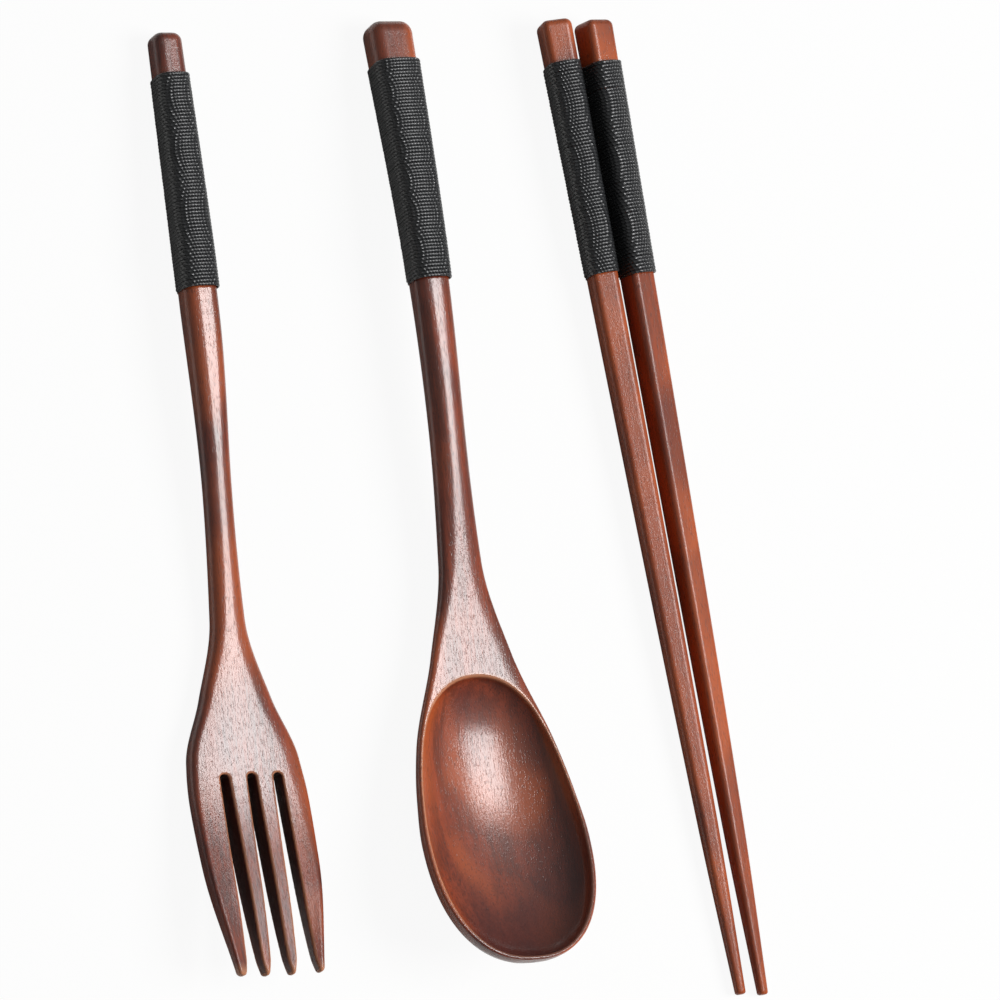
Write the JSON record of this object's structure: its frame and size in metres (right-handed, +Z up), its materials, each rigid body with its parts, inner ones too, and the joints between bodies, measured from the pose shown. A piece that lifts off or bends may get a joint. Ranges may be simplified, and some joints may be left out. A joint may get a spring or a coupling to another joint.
{
  "type": "wooden cutlery set",
  "caption": "Dark stained wooden fork, spoon and pair of tapered chopsticks, each with a thread-wound grip, laid side by side for one place setting.",
  "frame": {"origin": "middle of the set's footprint, on the table that it rests on", "axes": "+Y towards the grip ends, +X from the fork to the chopsticks, +Z up from the table"},
  "size_m": [0.1378, 0.2298, 0.0198],
  "materials": {
    "carved_wood": "stained, satin varnish",
    "chopstick_wood": "stained, satin varnish",
    "wound_thread": "matt twisted thread"
  },
  "bodies": {
    "root": {"fork": "carved_wood", "fork_thread_wrap": "wound_thread", "spoon": "carved_wood", "spoon_thread_wrap": "wound_thread", "chopstick_left": "chopstick_wood", "chopstick_left_thread_wrap": "wound_thread", "chopstick_right": "chopstick_wood", "chopstick_right_thread_wrap": "wound_thread"}
  },
  "joints": []
}
